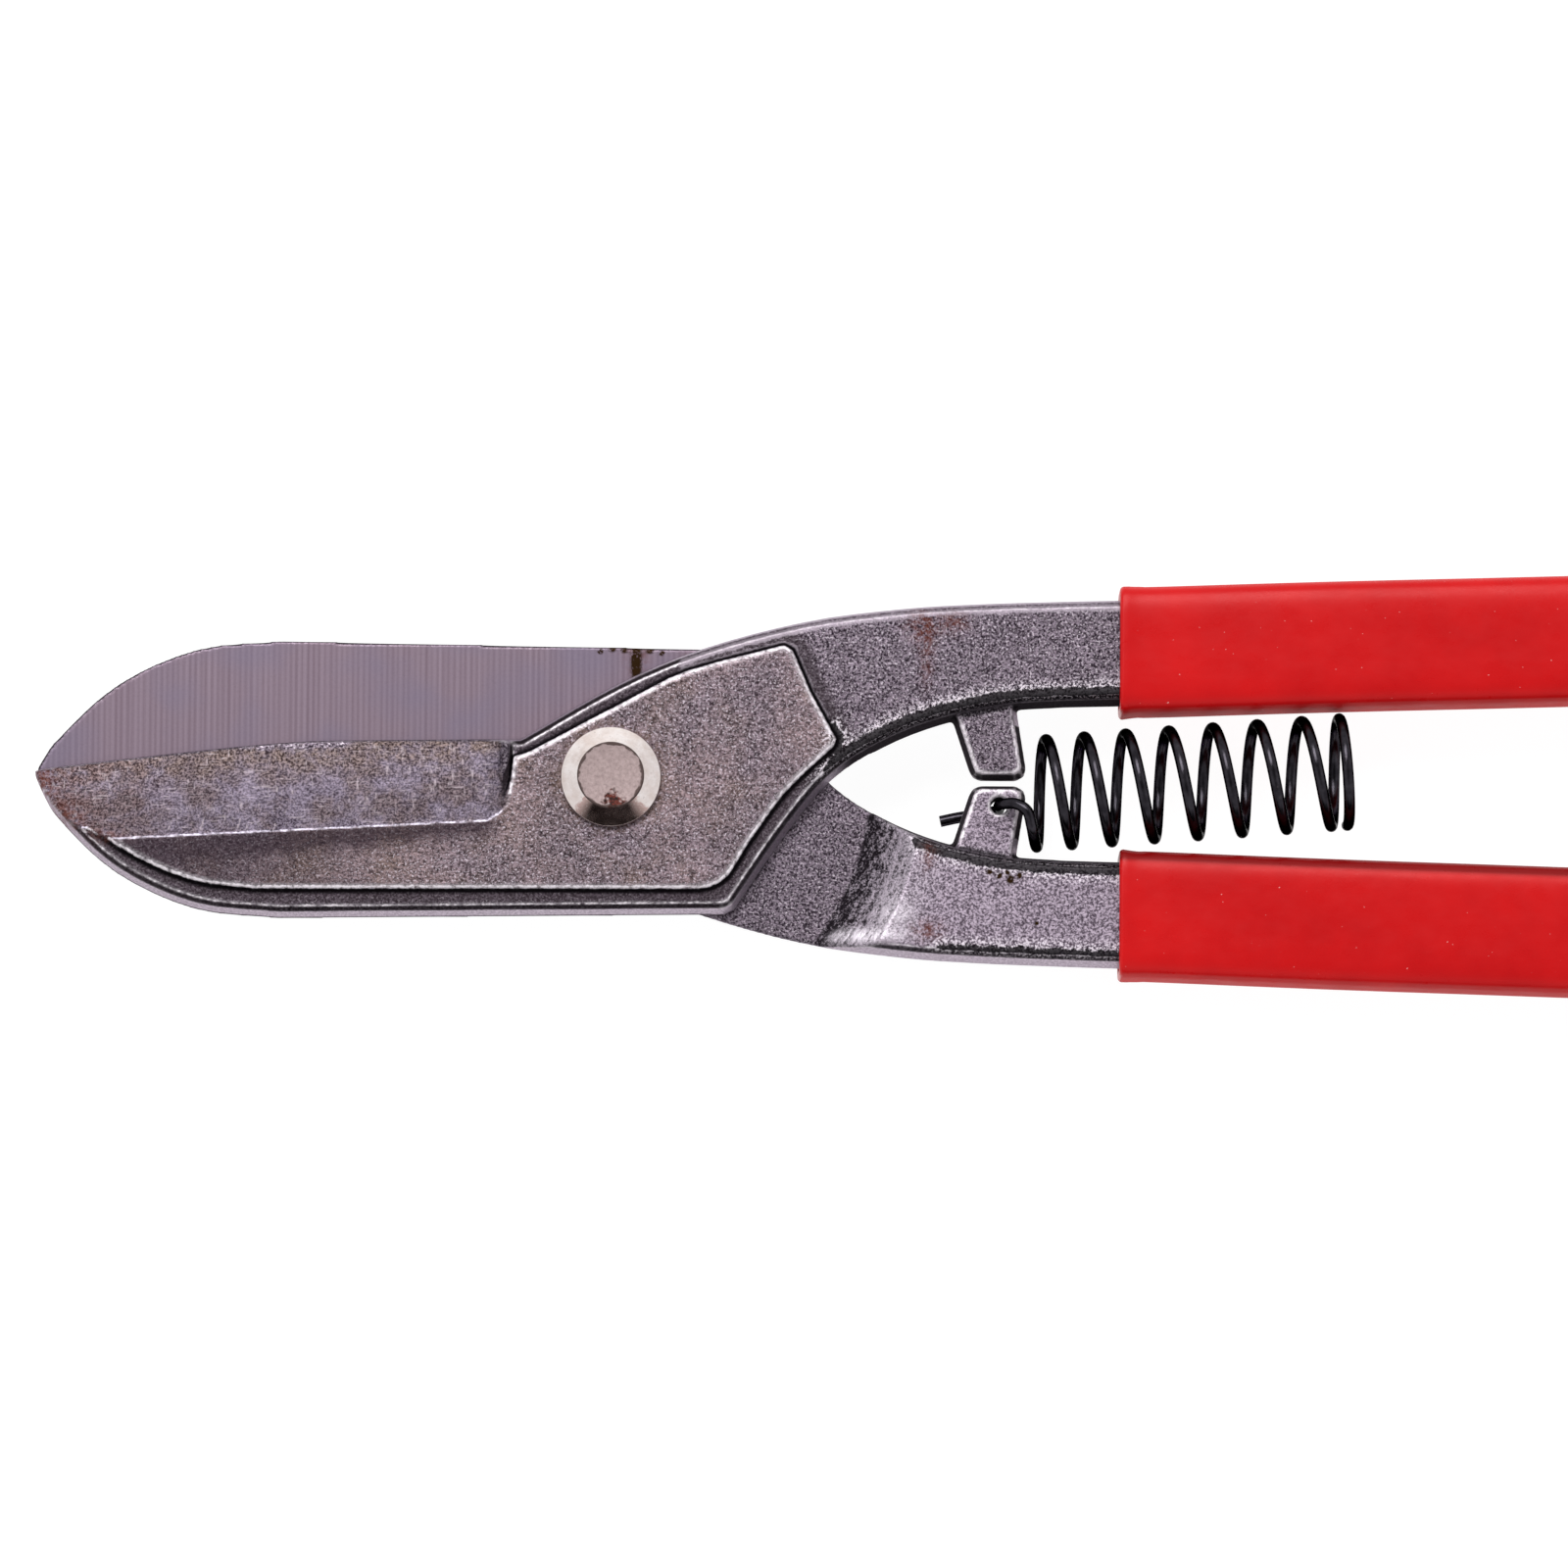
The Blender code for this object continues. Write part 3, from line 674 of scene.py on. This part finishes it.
def struck_face():
    """The head's flat: matt and pinkish grey, with rust at one edge and a thin line of dirt all round."""
    material, tree, shader = new_material("struck_face", 0.5, Specular_IOR_Level=0.2)
    place = millimetres(tree)
    grain = noise(tree, place, 2.4, 4.0, 0.7)
    pale = levels(tree, grain, 0.32, 0.68)
    tone = blend_colour(tree, pale, colour(0.27, 0.205, 0.200), colour(0.39, 0.305, 0.297))
    ragged = levels(tree, noise(tree, place, 1.2, 4.0), 0.3, 0.7, -0.7, 0.7)
    reach = maths(tree, "ADD", from_pivot(tree, place, (0.40, -3.4))[0], ragged)
    specks = levels(tree, noise(tree, place, 3.0, 3.0, 0.7), 0.42, 0.58)
    rust_tone = blend_colour(tree, specks, colour(0.012, 0.004, 0.003), colour(0.120, 0.022, 0.014))
    tone = blend_colour(tree, levels(tree, reach, 0.95, 1.45, 0.97, 0.0), tone, rust_tone)
    rim = maths(tree, "ADD", from_pivot(tree, place)[0], scaled(tree, ragged, 0.35))
    tone = blend_colour(tree, levels(tree, rim, 4.02, 4.18, 0.0, 0.85), tone, colour(0.035, 0.018, 0.014))
    plug(tree, tone, shader.inputs["Base Color"])
    plug(tree, levels(tree, grain, 0.3, 0.7, 0.66, 0.54), shader.inputs["Roughness"])
    bump = add(tree, "ShaderNodeBump", Height=grain, Strength=0.5, Distance=0.05 * MM)
    plug(tree, bump.outputs[0], shader.inputs["Normal"])
    return material


def zinc_plate():
    """The dulled zinc of the nut and washer: faint crystals, smudges and dark specks."""
    material, tree, shader = new_material("zinc_plate", 1.0)
    place = millimetres(tree)
    crystals = noise(tree, place, 1.1, 3.0, 0.6)
    smudges = noise(tree, place, 0.25, 4.0, 0.7)
    pale = levels(tree, crystals, 0.35, 0.65)
    tone = blend_colour(tree, pale, colour(0.40, 0.38, 0.39), colour(0.56, 0.54, 0.55))
    tone = blend_colour(tree, levels(tree, smudges, 0.45, 0.65, 0.0, 0.6), tone, colour(0.26, 0.22, 0.21))
    specks = levels(tree, noise(tree, place, 3.2, 3.0, 0.6), 0.66, 0.72)
    tone = blend_colour(tree, specks, tone, colour(0.10, 0.07, 0.06))
    plug(tree, tone, shader.inputs["Base Color"])
    plug(tree, levels(tree, smudges, 0.3, 0.7, 0.28, 0.42), shader.inputs["Roughness"])
    bump = add(tree, "ShaderNodeBump", Height=crystals, Strength=0.3, Distance=0.04 * MM)
    plug(tree, bump.outputs[0], shader.inputs["Normal"])
    return material


def make_pivot(plating, face):
    low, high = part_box("pivot_bolt")
    top = (high.z - PIVOT.z) / MM
    end = (low.z - PIVOT.z) / MM
    profile = [
        (2.6, end), (3.3, end + 0.15), (3.75, end + 0.5), (3.9, end + 0.8), (3.9, SEAT),
        (6.4, SEAT), (6.60, SEAT + 0.1), (6.65, SEAT + 0.30), (6.64, SEAT + 0.76), (6.59, SEAT + 0.89),
        (6.53, SEAT + 0.95), (4.43, top - 0.17), (4.38, top - 0.12), (4.33, top - 0.04), (4.25, top),
        (4.15, top - 0.03), (4.05, top - 0.05), (0.5, top - 0.05),
    ]
    bolt = turned_profile("pivot_bolt_turned", profile, PIVOT)
    bolt.data.materials.append(plating)
    bolt.data.materials.append(face)
    for polygon in bolt.data.polygons:
        if polygon.center.z > PIVOT.z + (top - 0.15) * MM:
            polygon.material_index = 1
    return bolt


def hex_radius(angle, across_flats):
    """How far the hexagon reaches from its centre at this angle."""
    sixth = math.pi / 3
    within = (angle % sixth) - sixth / 2
    return across_flats / 2 / math.cos(within)


def make_nut(material):
    """A hex nut: both faces chamfered to a circle, and the bore's mouth countersunk."""
    low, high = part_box("pivot_nut")
    flats = (high.y - low.y) / MM
    bottom = (low.z - PIVOT.z) / MM
    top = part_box("pivot_washer")[0].z / MM - PIVOT.z / MM
    rim = flats / 2 - 0.15
    slope = 1.9
    outline = [(bottom, rim), (bottom + 0.15, rim + 0.15 * slope), (bottom + 0.5, rim + 0.5 * slope),
               (bottom + 0.8, rim + 3.0), (top - 0.8, rim + 3.0), (top - 0.5, rim + 0.5 * slope), (top, rim)]
    rings = []
    angles = [2 * math.pi * step / 144 for step in range(144)]
    for height, limit in outline:
        reach = [min(limit, hex_radius(angle, flats)) for angle in angles]
        rings.append([(math.cos(a) * r, math.sin(a) * r, height) for a, r in zip(angles, reach)])
    for height, radius in ((top, 3.96), (bottom + 0.6, 3.96), (bottom, 4.5)):
        rings.append([(math.cos(a) * radius, math.sin(a) * radius, height) for a in angles])
    nut = skin("pivot_nut_cut", [[PIVOT + Vector(point) * MM for point in ring] for ring in rings], "meet")
    nut.data.set_sharp_from_angle(angle=math.radians(22))
    nut.data.materials.append(material)
    return nut


def make_washer(material):
    low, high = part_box("pivot_washer")
    outer = (high.x - low.x) / 2 / MM
    bottom = (low.z - PIVOT.z) / MM
    top = -SEAT
    profile = [(4.2, bottom), (outer - 0.25, bottom), (outer, bottom + 0.3), (outer, top - 0.2),
               (outer - 0.12, top), (4.2, top)]
    angles = [2 * math.pi * step / 96 for step in range(96)]
    rings = [[PIVOT + Vector((math.cos(a) * r, math.sin(a) * r, h)) * MM for a in angles] for r, h in profile]
    washer = skin("pivot_washer_punched", rings, "meet")
    washer.data.set_sharp_from_angle(angle=math.radians(35))
    washer.data.materials.append(material)
    return washer


# Sleeves.

SECTION_POWER = 6.0
BORE_POWER = 7.0
LIP = 0.14
MOUTH_ROUND = 0.55
SLEEVE_WALL = 1.1


def section(x, centre_y, half_width, half_thickness, power=SECTION_POWER, steps=72):
    """A rounded rectangle across the sleeve, as a superellipse."""
    ring = []
    for step in range(steps):
        angle = 2 * math.pi * (step + 0.5) / steps
        wide = math.copysign(abs(math.cos(angle)) ** (2 / power), math.cos(angle)) * half_width
        deep = math.copysign(abs(math.sin(angle)) ** (2 / power), math.sin(angle)) * half_thickness
        ring.append(Vector((x, centre_y + wide * MM, PIVOT.z + deep * MM)))
    return ring


def edges_of_node(node, x):
    """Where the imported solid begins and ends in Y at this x, at the height of the pivot's plane."""
    solid = frame["nodes"][node]
    hit_high = solid.ray_cast(Vector((x, 0.1, PIVOT.z)), Vector((0, -1, 0)))[1]
    hit_low = solid.ray_cast(Vector((x, -0.1, PIVOT.z)), Vector((0, 1, 0)))[1]
    return hit_low.y, hit_high.y


def store_sleeve_masks(mesh, body, shaded):
    """The sleeve's flanks, and the edge towards the gap, where a band of painted shade lies on the shaded
    sleeve only.
    """
    points = vertex_array(mesh, mesh.vertices)
    xs, centres, widths = np.array(body).T
    centre = np.interp(points[:, 0], xs, centres)
    half_width = np.interp(points[:, 0], xs, widths) * MM
    store(mesh, "gap_edge_shade", ramp_up((points[:, 1] - centre) / half_width, 0.78, 0.86) * shaded)
    sideways = np.abs(vertex_array(mesh, mesh.vertex_normals)[:, 1])
    store(mesh, "flank", ramp_up(sideways, 0.80, 0.97))


def make_sleeve(node, name, material):
    """A dipped vinyl sleeve: a soft lip at its mouth, a long body and a domed end, hollow inside."""
    low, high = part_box(node)
    half_thickness = (high.z - low.z) / 2 / MM
    mouth = low.x
    near = edges_of_node(node, mouth + 4 * MM)
    cap_radius = (near[1] - near[0]) / 2 / MM
    cap_start = high.x - cap_radius * MM
    body = []
    for step in range(30):
        x = mouth + (cap_start - mouth) * step / 29
        start, end = edges_of_node(node, max(x, mouth + 4 * MM))
        body.append([x, (start + end) / 2, (end - start) / 2 / MM])
    first_drift = (body[2][1] - body[1][1]) / (body[2][0] - body[1][0])
    body[0][1] = body[1][1] - first_drift * (body[1][0] - body[0][0])
    drift = (body[-1][1] - body[-2][1]) / (body[-1][0] - body[-2][0])

    outer = []
    for angle in (0, 20, 40, 62, 90):
        turn = math.radians(angle)
        x = mouth + MOUTH_ROUND * (1 - math.sin(turn)) * MM
        shrink = MOUTH_ROUND * (1 - math.cos(turn)) - LIP
        outer.append(section(x, body[0][1], body[0][2] - shrink, half_thickness - shrink))
    outer.reverse()
    for extra, swell in ((1.2, 0.7), (1.8, 0.3), (2.6, 0.05)):
        outer.append(section(mouth + extra * MM, body[0][1] + drift * extra * MM, body[0][2] + LIP * swell,
                             half_thickness + LIP * swell))
    for x, y, half_width in body[1:]:
        outer.append(section(x, y, half_width, half_thickness))
    for angle in (8, 16, 24, 32, 40, 48, 56, 63, 70, 76, 81, 85, 88):
        turn = math.radians(angle)
        reach = math.sin(turn) * cap_radius * MM
        narrow = math.cos(turn)
        outer.append(section(cap_start + reach, body[-1][1] + drift * reach, body[-1][2] * narrow,
                             half_thickness * narrow ** 0.45, 2 + (SECTION_POWER - 2) * narrow))

    inner = []
    bore_depth = half_thickness - SLEEVE_WALL
    for x, y, half_width in body:
        inner.append(section(max(x, mouth + 0.1 * MM), y, half_width - SLEEVE_WALL, bore_depth, BORE_POWER))
    last_x, last_y, last_width = body[-1]
    for angle in (30, 60, 85):
        turn = math.radians(angle)
        reach = math.sin(turn) * (cap_radius - SLEEVE_WALL - 0.3) * MM
        narrow = math.cos(turn)
        inner.append(section(last_x + reach, last_y + drift * reach, (last_width - SLEEVE_WALL) * narrow,
                             bore_depth * max(narrow, 0.95 * narrow ** 0.4), BORE_POWER))
    sleeve = skin(name, [*reversed(inner), *outer])
    store_sleeve_masks(sleeve.data, body, name == "lower_sleeve")
    sleeve.data.materials.append(material)
    return sleeve


def red_vinyl():
    """Glossy dipped vinyl: slight orange peel, faint cloudiness, dust and a few fine scuffs."""
    material, tree, shader = new_material("red_vinyl", 0.0, Specular_IOR_Level=0.30,
                                          Specular_Tint=colour(1.0, 0.50, 0.50))
    place = millimetres(tree)
    cloud = noise(tree, place, 0.09, 3.0, 0.6)
    pale = levels(tree, cloud, 0.3, 0.7)
    tone = blend_colour(tree, pale, colour(0.445, 0.0035, 0.0048), colour(0.525, 0.0055, 0.0065))
    fleck = levels(tree, noise(tree, place, 2.0, 2.0, 0.5), 0.76, 0.79, 0.0, 0.7)
    tone = blend_colour(tree, fleck, tone, colour(0.80, 0.50, 0.48))
    # Painted shade: a dark band along the lower sleeve's edge towards the gap.
    tone = blend_colour(tree, scaled(tree, mask(tree, "gap_edge_shade"), 0.8), tone, colour(0.120, 0.0010, 0.0012))
    plug(tree, tone, shader.inputs["Base Color"])
    scuffs = noise(tree, millimetres(tree, (0.3, 0.5, 0.5)), 1.0, 4.0, 0.6)
    gloss = levels(tree, scuffs, 0.35, 0.7, 0.26, 0.36)
    plug(tree, maths(tree, "ADD", gloss, scaled(tree, mask(tree, "flank"), 0.35)), shader.inputs["Roughness"])
    peel = noise(tree, place, 0.55, 2.0, 0.4)
    ripple = noise(tree, place, 0.10, 2.0, 0.5)
    height = maths(tree, "ADD", scaled(tree, peel, 0.35), scaled(tree, ripple, 4.0))
    bump = add(tree, "ShaderNodeBump", Height=height, Strength=0.35, Distance=0.06 * MM)
    plug(tree, bump.outputs[0], shader.inputs["Normal"])
    return material


# Spring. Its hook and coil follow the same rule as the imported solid, in finer steps.

WIRE_RADIUS = 0.75
COIL_RADIUS = 7.1
COIL_START = Vector((55.85, -1.35, 0.0))
COIL_TILT = math.radians(4.4)
COIL_TURNS = 8.15
COIL_PITCH = 5.95
COIL_FIRST_ANGLE = math.radians(135)
COIL_FIRST_BOTTOM = 0.125
TAIL_DEPTH = -5.2
POINTS_PER_TURN = 56


def smooth(points, steps):
    """A Catmull-Rom curve through the points, with this many steps from each to the next."""
    path = [Vector(point) for point in points]
    padded = [path[0] * 2 - path[1], *path, path[-1] * 2 - path[-2]]
    curve = []
    for a, b, c, d in zip(padded, padded[1:], padded[2:], padded[3:]):
        for step in range(steps):
            t = step / steps
            drift = (c - a) * t + (a * 2 - b * 5 + c * 4 - d) * t**2 + (b * 3 - a - c * 3 + d) * t**3
            curve.append(b + drift / 2)
    curve.append(path[-1])
    return curve


def coil_point(turn):
    """A point of the coil after this many turns. It is tighter at its start, and its last turn closes."""
    from_bottom = turn - COIL_FIRST_BOTTOM
    tight_start = 0.42 * (1.0 - math.exp(-from_bottom / 1.4))
    closed_end = 0.65 * max(0.0, turn - COIL_TURNS + 1.0) ** 2
    along = (from_bottom - tight_start - closed_end) * COIL_PITCH
    angle = COIL_FIRST_ANGLE + 2 * math.pi * turn
    ring = Vector((along, COIL_RADIUS * math.cos(angle), COIL_RADIUS * math.sin(angle)))
    return COIL_START + Matrix.Rotation(COIL_TILT, 3, "Z") @ ring


def spring_path():
    hole = (SPRING_HOLE - PIVOT) / MM
    tail = [(43.7, -4.5, TAIL_DEPTH), (46.0, -4.0, TAIL_DEPTH), (48.4, -3.6, TAIL_DEPTH), (50.4, -3.3, -4.4)]
    through = [hole + Vector((0.0, 0.0, -2.9)), hole + Vector((0.0, 0.0, 2.5))]
    rise = [hole + Vector(step) for step in ((0.6, 0.05, 4.0), (2.2, -0.05, 5.0), (3.7, -1.1, 5.5))]
    hook = smooth([*tail, *through, *rise, coil_point(0.0)], 10)
    steps = round(COIL_TURNS * POINTS_PER_TURN)
    return [*hook, *(coil_point(COIL_TURNS * step / steps) for step in range(1, steps + 1))]


def make_spring(material):
    path = spring_path()
    wire = bpy.data.curves.new("return_spring_wire", "CURVE")
    wire.dimensions = "3D"
    wire.bevel_depth = WIRE_RADIUS * MM
    wire.bevel_resolution = 6
    wire.use_fill_caps = True
    spline = wire.splines.new("POLY")
    spline.points.add(len(path) - 1)
    for knot, point in zip(spline.points, path):
        knot.co = (*(PIVOT + point * MM), 1.0)
    spring = baked(link(bpy.data.objects.new("return_spring_wire", wire)), "return_spring_wire")
    spring.data.shade_smooth()
    spring.data.set_sharp_from_angle(angle=math.radians(50))
    spring.data.materials.append(material)
    return spring


def black_wire():
    """Glossy black-finished wire: faintly clouded, with small worn spots."""
    material, tree, shader = new_material("black_wire", 1.0, Specular_Tint=colour(0.0, 0.0, 0.0))
    place = millimetres(tree)
    cloud = noise(tree, place, 0.6, 4.0, 0.65)
    pale = levels(tree, cloud, 0.35, 0.7)
    tone = blend_colour(tree, pale, colour(0.020, 0.018, 0.022), colour(0.050, 0.046, 0.054))
    worn = levels(tree, noise(tree, place, 1.4, 4.0, 0.7), 0.66, 0.74, 0.0, 0.6)
    tone = blend_colour(tree, worn, tone, colour(0.13, 0.11, 0.11))
    plug(tree, tone, shader.inputs["Base Color"])
    plug(tree, levels(tree, cloud, 0.3, 0.7, 0.14, 0.28), shader.inputs["Roughness"])
    skin_noise = noise(tree, place, 2.0, 3.0, 0.6)
    bump = add(tree, "ShaderNodeBump", Height=skin_noise, Strength=0.20, Distance=0.02 * MM)
    plug(tree, bump.outputs[0], shader.inputs["Normal"])
    return material


def place_piece(piece, node, body):
    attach(piece, body)
    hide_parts(node)


def make_snips():
    steel = forged_steel()
    front = forging("front_lever", "front_forging", False, FRONT_RUST)
    rear = forging("rear_lever", "rear_forging", True, REAR_RUST)
    front.data.materials.append(steel)
    rear.data.materials.append(steel)
    place_piece(front, "front_lever", "front")
    place_piece(rear, "rear_lever", "rear")

    plating = plated_steel()
    place_piece(make_pivot(plating, struck_face()), "pivot_bolt", "rear")
    zinc = zinc_plate()
    place_piece(make_washer(zinc), "pivot_washer", "rear")
    place_piece(make_nut(zinc), "pivot_nut", "rear")

    vinyl = red_vinyl()
    place_piece(make_sleeve("upper_grip", "upper_sleeve", vinyl), "upper_grip", "front")
    place_piece(make_sleeve("lower_grip", "lower_sleeve", vinyl), "lower_grip", "rear")
    place_piece(make_spring(black_wire()), "return_spring", "spring")


def make_stage():
    """A plain white table that glows a little, as a lit tabletop does."""
    shape = bmesh.new()
    bmesh.ops.create_grid(shape, x_segments=1, y_segments=1, size=3.0)
    mesh = bpy.data.meshes.new("floor")
    shape.to_mesh(mesh)
    shape.free()
    floor = link(bpy.data.objects.new("floor", mesh))
    floor.location.z = -0.5 * MM
    material, _, shader = new_material("white_table", 0.0, Roughness=0.7)
    shader.inputs["Base Color"].default_value = colour(0.12, 0.12, 0.12)
    shader.inputs["Emission Color"].default_value = colour(1.0, 1.0, 1.0)
    shader.inputs["Emission Strength"].default_value = 0.94
    mesh.materials.append(material)


def area_light(name, place, target, size, power):
    lamp = bpy.data.lights.new(name, "AREA")
    lamp.shape = "RECTANGLE"
    lamp.size, lamp.size_y = size
    lamp.energy = power
    holder = link(bpy.data.objects.new(name, lamp))
    holder.location = place
    holder.rotation_euler = (Vector(target) - Vector(place)).to_track_quat("-Z", "Y").to_euler()


def make_light():
    """A white surround, darker low down towards -Y, where the studio is open, and a soft key light."""
    world = bpy.data.worlds.new("studio")
    bpy.context.scene.world = world
    world.use_nodes = True
    tree = world.node_tree
    direction = add(tree, "ShaderNodeTexCoord").outputs["Generated"]
    parts = add(tree, "ShaderNodeSeparateXYZ", Vector=direction)
    towards = levels(tree, scaled(tree, parts.outputs["Y"], -1.0), 0.60, 0.82)
    low_down = levels(tree, parts.outputs["Z"], 0.42, 0.28)
    overhead = levels(tree, parts.outputs["Z"], 0.80, 0.95)
    shown = blend_colour(tree, overhead, colour(0.92, 0.92, 0.94), colour(0.34, 0.34, 0.35))
    shown = blend_colour(tree, scaled(tree, towards, low_down), shown, colour(0.012, 0.010, 0.010))
    seen = add(tree, "ShaderNodeLightPath").outputs["Is Camera Ray"]
    background = tree.nodes["Background"]
    plug(tree, blend_colour(tree, seen, shown, colour(0.95, 0.95, 0.95)), background.inputs["Color"])
    background.inputs["Strength"].default_value = 1.0
    area_light("key", (-0.10, 0.42, 0.70), (0.02, 0.0, 0.0), (0.6, 0.4), 5.0)
    bpy.context.scene.view_settings.view_transform = "Standard"


def make_camera():
    """Nearly straight down, leaning a little towards -Y, with the sleeves running out of the frame."""
    lens = bpy.data.cameras.new("camera")
    camera = link(bpy.data.objects.new("camera", lens))
    bpy.context.scene.camera = camera
    target = PIVOT + Vector((22.9, -0.2, 0.0)) * MM
    lean = math.radians(6.7)
    distance = 1.6
    frame_width = 0.208
    lens.sensor_width = 36.0
    lens.lens = 36.0 * distance / frame_width
    lens.clip_start = 0.01
    back = Vector((0.0, -math.sin(lean), math.cos(lean)))
    camera.location = target + back * distance
    camera.rotation_euler = (lean, 0.0, 0.0)
    camera.rotation_euler.rotate_axis("Z", math.radians(0.33))


make_light()
make_camera()
make_stage()
make_snips()
